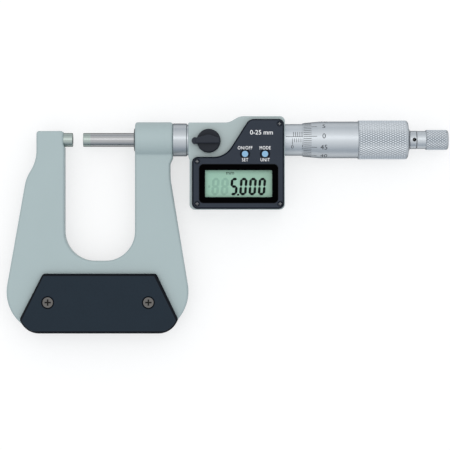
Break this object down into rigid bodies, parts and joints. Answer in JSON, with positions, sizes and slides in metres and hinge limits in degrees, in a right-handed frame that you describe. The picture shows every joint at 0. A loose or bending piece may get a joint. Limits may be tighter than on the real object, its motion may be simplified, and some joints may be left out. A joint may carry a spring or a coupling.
{
  "type": "deep throat micrometer",
  "caption": "Digital outside micrometer with a deep U frame, insulating plates, display housing, lock lever, graduated thimble and ratchet stop.",
  "frame": {"origin": "centre of the anvil's measuring face", "axes": "+X along the spindle from the anvil to the ratchet, +Y from the throat's floor towards the spindle, +Z out of the display"},
  "size_m": [0.2092, 0.1025, 0.0228],
  "materials": {
    "grey_paint": "satin",
    "satin_steel": "satin",
    "satin_chrome": "satin",
    "carbide": "polished",
    "cover_plastic": "satin",
    "plate_plastic": "satin",
    "window_plastic": "gloss",
    "display_film": "satin",
    "button_blue": "gloss",
    "black_rubber": "matte",
    "lock_plastic": "satin",
    "board_laminate": "satin",
    "brass": "satin",
    "battery_steel": "polished",
    "black_steel": "satin"
  },
  "bodies": {
    "frame": {"frame": "grey_paint", "anvil": "satin_steel", "anvil_tip": "carbide", "wiper_seal": "black_rubber", "guide_sleeve": "satin_steel", "housing": "grey_paint", "housing_gasket": "black_rubber", "front_cover": "cover_plastic", "cover_screws": "black_steel", "display_window": "window_plastic", "lcd_panel": "display_film", "lcd_contact_strips": "black_rubber", "circuit_board": "board_laminate", "button_pad": "black_rubber", "lock_bush": "brass", "rotor_bearing": "brass", "encoder_stator": "board_laminate", "inner_sleeve": "satin_steel", "adjusting_nut": "satin_steel", "graduated_sleeve": "satin_chrome", "sleeve_set_screw": "black_steel", "battery": "battery_steel", "battery_contacts": "brass", "front_insulating_plate": "plate_plastic", "front_plate_screws": "black_steel", "rear_insulating_plate": "plate_plastic", "rear_plate_screws": "black_steel"},
    "encoder_rotor": {"encoder_rotor": "board_laminate", "rotor_key": "satin_steel"},
    "spindle": {"spindle": "satin_steel", "spindle_tip": "carbide", "thimble": "satin_chrome", "ratchet_body": "satin_steel", "ratchet_clutch": "satin_steel", "ratchet_spring": "satin_steel", "ratchet_retaining_screw": "satin_steel"},
    "ratchet_knob": {"ratchet_knob": "satin_chrome"},
    "lock_lever": {"lock_lever": "lock_plastic", "lock_screw": "satin_steel"},
    "lock_shoe": {"lock_shoe": "brass"},
    "power_button": {"power_button": "button_blue"},
    "unit_button": {"unit_button": "button_blue"},
    "battery_cap": {"battery_cap": "cover_plastic", "battery_cap_seal": "black_rubber"}
  },
  "joints": [
    {"name": "thimble_turn", "type": "hinge", "parent": "frame", "child": "encoder_rotor", "pos_m": [0.09, 0, 0], "axis": [1, 0, 0], "range_deg": [-3600, 14400]},
    {"name": "spindle_travel", "type": "slide", "parent": "encoder_rotor", "child": "spindle", "axis": [1, 0, 0], "range_m": [-0.005, 0.02]},
    {"name": "ratchet_slip", "type": "hinge", "parent": "spindle", "child": "ratchet_knob", "pos_m": [0.17, 0, 0], "axis": [1, 0, 0], "continuous": true},
    {"name": "lock_lever_turn", "type": "hinge", "parent": "frame", "child": "lock_lever", "pos_m": [0.0646, -0.0008, 0.0089], "axis": [0, 0, -1], "range_deg": [0, 60]},
    {"name": "lock_shoe_press", "type": "slide", "parent": "frame", "child": "lock_shoe", "axis": [0, 0, -1], "range_m": [0, 0.00014]},
    {"name": "power_button_press", "type": "slide", "parent": "frame", "child": "power_button", "axis": [0, 0, -1], "range_m": [0, 0.0005], "stiffness_N_per_m": 600, "springref_m": -0.0004},
    {"name": "unit_button_press", "type": "slide", "parent": "frame", "child": "unit_button", "axis": [0, 0, -1], "range_m": [0, 0.0005], "stiffness_N_per_m": 600, "springref_m": -0.0004},
    {"name": "battery_cap_turn", "type": "hinge", "parent": "frame", "child": "battery_cap", "pos_m": [0.0865, -0.0205, -0.0094], "axis": [0, 0, -1], "range_deg": [0, 90]}
  ],
  "couplings": [
    {"joint": "thimble_turn", "follows": "spindle_travel", "rad_per_m": 12566},
    {"joint": "lock_lever_turn", "follows": "lock_shoe_press", "rad_per_m": 7479}
  ]
}
